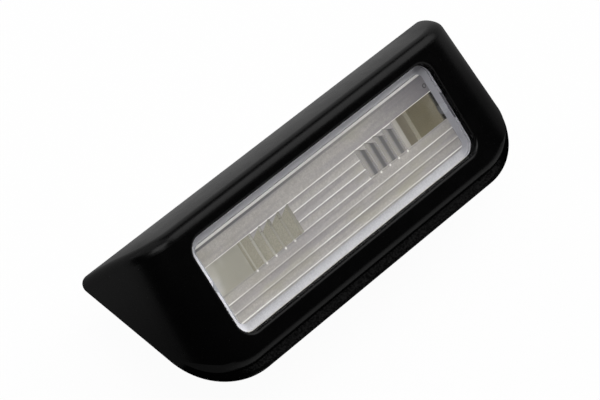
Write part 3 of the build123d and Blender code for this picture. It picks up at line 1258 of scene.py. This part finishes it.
    def cut_prisms(self, bm: bmesh.types.BMesh, end: int) -> None:
        """Cut the inner face along the prisms' steps and slanted heads and at the window's end.

        Args:
            bm: Mesh of the lens.
            end: -1 for the left end, 1 for the right.
        """
        for across in (self.inner_half() - self.draft, self.prism_edge() + self.prism_margin):
            self.cut(bm, (end * across, 0), (1, 0))
        for index in range(self.prism_count + 1):
            for side in (-1, 1):
                across = self.prism_start + index * self.prism_pitch + side * self.prism_step / 2
                self.cut(bm, (end * across, 0), (1, 0))
        for index in range(self.prism_count - 1):
            inner = end * (self.prism_start + index * self.prism_pitch)
            span = (inner, inner + end * self.prism_pitch)
            for side in (-1, 1):
                high = self.prism_head() + side * self.draft
                self.cut(bm, (inner, high), (self.prism_slant, end * self.prism_pitch), span)

    def carve(self, bm: bmesh.types.BMesh) -> None:
        """Cut the inner face, mark the plate's areas and raise the relief.

        Args:
            bm: Mesh of the lens.
        """
        self.cut_flutes(bm)
        for end in (-1, 1):
            self.cut_prisms(bm, end)
        for face in bm.faces:
            face.material_index = self.face_area(face).value
        for corner in bm.verts:
            if self.on_floor(corner):
                corner.co.z -= self.relief(corner.co.x, corner.co.y)

    def fittings(self, bm: bmesh.types.BMesh) -> None:
        """Add a locating nib inside the skirt and a snap lug outside it, at each end.

        Args:
            bm: Mesh of the lens.
        """
        before = set(bm.faces)
        reach, width, height = self.lug
        nib_height = self.depth - self.thickness - self.draft
        for end in (-1, 1):
            place = Matrix.Translation((end * (self.length + reach) / 2, 0, -self.lug_top - height / 2))
            bmesh.ops.create_cube(bm, size=1.0, matrix=place @ Matrix.Diagonal((reach, width, height, 1.0)))
            across = end * self.inner_half() + self.nib_shift
            place = Matrix.Translation((across, 0, nib_height / 2 - self.depth))
            bmesh.ops.create_cone(bm, cap_ends=True, segments=self.nib_segments, radius1=self.nib,
                                  radius2=self.nib, depth=nib_height, matrix=place)
        for face in set(bm.faces) - before:
            outside = abs(face.calc_center_median().x) > self.length / 2 - self.draft
            face.material_index = (Area.RIM if outside else Area.NIB).value

    def ring_mark(self, bm: bmesh.types.BMesh) -> None:
        """Add the small raised ring that a moulding pin leaves in a corner of the inner face.

        Args:
            bm: Mesh of the lens.
        """
        before = set(bm.faces)
        inner, outer = self.ring
        middle = Vector((*self.ring_place, 0))
        profile = ((inner, 0.0), (outer, 0.0), (outer, self.draft), (inner, self.draft))
        corners = [bm.verts.new(middle + Vector((radius, 0, -self.thickness - depth)))
                   for radius, depth in profile]
        edges = [bm.edges.new((corners[index - 1], corners[index])) for index in range(len(corners))]
        bmesh.ops.spin(bm, geom=[*corners, *edges], cent=middle, axis=Z_AXIS, angle=2 * math.pi,
                       steps=self.ring_segments, use_merge=True)
        for face in set(bm.faces) - before:
            face.material_index = Area.WALL.value

    def build(self) -> bpy.types.Object:
        """Make the lens, which casts no shadow, so that light reaches what is behind it.

        Returns:
            The new object.
        """
        bm = self.plate()
        self.carve(bm)
        self.fittings(bm)
        self.ring_mark(bm)
        bmesh.ops.transform(bm, matrix=self.place(), verts=bm.verts)
        finishes = self.finishes()
        lens = piece("lens_detail", bm, [finishes[area] for area in Area], self.sharp)
        lens.visible_shadow = False
        return lens


def piece(name: str, bm: bmesh.types.BMesh, finishes: list[Finish], sharp: float) -> bpy.types.Object:
    """Turn a bmesh into a piece of the root body.

    Args:
        name: Name of the piece.
        bm: Its mesh, in metres; freed here.
        finishes: Its finishes, in the order of the faces' material numbers.
        sharp: Angle in degrees from which an edge stays sharp.

    Returns:
        The new object.
    """
    bmesh.ops.recalc_face_normals(bm, faces=bm.faces)
    for face in bm.faces:
        face.smooth = True
    for edge in bm.edges:
        edge.smooth = edge.calc_face_angle(0.0) < math.radians(sharp)
    mesh = bpy.data.meshes.new(name)
    bm.to_mesh(mesh)
    bm.free()
    made = bpy.data.objects.new(name, mesh)
    bpy.context.scene.collection.objects.link(made)
    for finish in finishes:
        mesh.materials.append(finish.material())
    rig.ride(made, "root")
    LOG.info("%s: %d faces", name, len(mesh.polygons))
    return made


def direction(azimuth: float, elevation: float) -> Vector:
    """Find the unit vector towards a point of the sky.

    Args:
        azimuth: Angle in degrees from the x axis, seen from above.
        elevation: Angle in degrees above the floor.

    Returns:
        The vector.
    """
    turn = math.radians(azimuth)
    rise = math.radians(elevation)
    return Vector((math.cos(rise) * math.cos(turn), math.cos(rise) * math.sin(turn), math.sin(rise)))


@dataclass(frozen=True)
class Softbox:
    """One soft area light, placed by its direction from the lamp; degrees, metres and watts."""

    name: str
    azimuth: float
    elevation: float
    distance: float
    size: float
    power: float

    def build(self) -> None:
        """Make the light."""
        data = bpy.data.lights.new(self.name, "AREA")
        data.shape = "SQUARE"
        data.size = self.size
        data.energy = self.power
        light = bpy.data.objects.new(self.name, data)
        out = direction(self.azimuth, self.elevation)
        turn = out.to_track_quat("Z", "Y").to_matrix().to_4x4()
        light.matrix_world = Matrix.Translation(out * self.distance) @ turn
        bpy.context.scene.collection.objects.link(light)


@dataclass(frozen=True)
class Studio:
    """Camera in millimetres and degrees, and the floor, clipping and light round it in metres."""

    target: tuple[float, float, float] = (-7.65, 1.92, 10.38)
    azimuth: float = -160.492
    elevation: float = 58.133
    roll: float = 29.062
    distance: float = 555.74
    focal_length: float = 167.71
    sensor: float = 36.0
    clip_start: float = 0.01
    cove_radius: float = 2.0
    cove_height: float = 0.6
    cove_segments: int = 64
    cove_finish: Finish = Backdrop("cove")
    ambient: float = 0.04
    lights: tuple[Softbox, ...] = (
        Softbox("key", 150.0, 78.0, 1.0, 0.6, 5.0),
        Softbox("side", 20.0, 46.0, 0.9, 0.75, 4.5),
        Softbox("back", 100.0, 35.0, 1.0, 0.8, 2.5),
    )

    def build(self) -> None:
        """Set up the camera, the floor and the light."""
        self.camera()
        self.cove()
        self.world()
        for light in self.lights:
            light.build()

    def camera(self) -> None:
        """Set the camera where the photograph was taken from."""
        data = bpy.data.cameras.new("camera")
        data.sensor_width = self.sensor
        data.lens = self.focal_length
        data.clip_start = self.clip_start
        back = direction(self.azimuth, self.elevation)
        turn = back.to_track_quat("Z", "Y").to_matrix() @ Matrix.Rotation(math.radians(self.roll), 3, "Z")
        camera = bpy.data.objects.new("camera", data)
        place = (Vector(self.target) + back * self.distance) * MM
        camera.matrix_world = Matrix.Translation(place) @ turn.to_4x4()
        bpy.context.scene.collection.objects.link(camera)
        bpy.context.scene.camera = camera

    def cove(self) -> None:
        """Stand the lamp on a plain pale floor inside a low round wall."""
        bm = bmesh.new()
        bmesh.ops.create_circle(bm, cap_ends=True, segments=self.cove_segments, radius=self.cove_radius)
        rim = [edge for edge in bm.edges if edge.is_boundary]
        wall = bmesh.ops.extrude_edge_only(bm, edges=rim)
        raised = [item for item in wall["geom"] if isinstance(item, bmesh.types.BMVert)]
        bmesh.ops.translate(bm, vec=(0, 0, self.cove_height), verts=raised)
        mesh = bpy.data.meshes.new("cove")
        bm.to_mesh(mesh)
        bm.free()
        cove = bpy.data.objects.new("cove", mesh)
        low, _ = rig.bounds()
        cove.location.z = low[2]
        bpy.context.scene.collection.objects.link(cove)
        mesh.materials.append(self.cove_finish.material())
        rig.stage(cove)

    def world(self) -> None:
        """Set the dim light from above the cove."""
        world = bpy.data.worlds.new("studio")
        world.use_nodes = True
        bpy.context.scene.world = world
        graph = Graph(world.node_tree)
        inputs = {"Color": (1.0, 1.0, 1.0), "Strength": self.ambient}
        shader = graph.add("ShaderNodeBackground", None, inputs)
        graph.add("ShaderNodeOutputWorld", None, {"Surface": shader})


def main() -> None:
    """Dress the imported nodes, add the lens and set up the studio."""
    logging.basicConfig(level=logging.INFO, format="%(name)s: %(message)s")
    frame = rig.load()
    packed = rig.bounds()
    bpy.context.scene.view_settings.view_transform = "Standard"
    for assembly in (Casing(), Bulb(), Fixings()):
        assembly.dress(frame["nodes"])
    lens = Lens().build()
    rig.replaces(lens, "lens")
    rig.slot(lens, "lens")
    Studio().build()
    boxes = {"cad": packed, "visual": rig.bounds()}
    SIZE_FILE.write_text(json.dumps({name: [list(point) for point in box] for name, box in boxes.items()}))


if __name__ == "__main__":
    main()
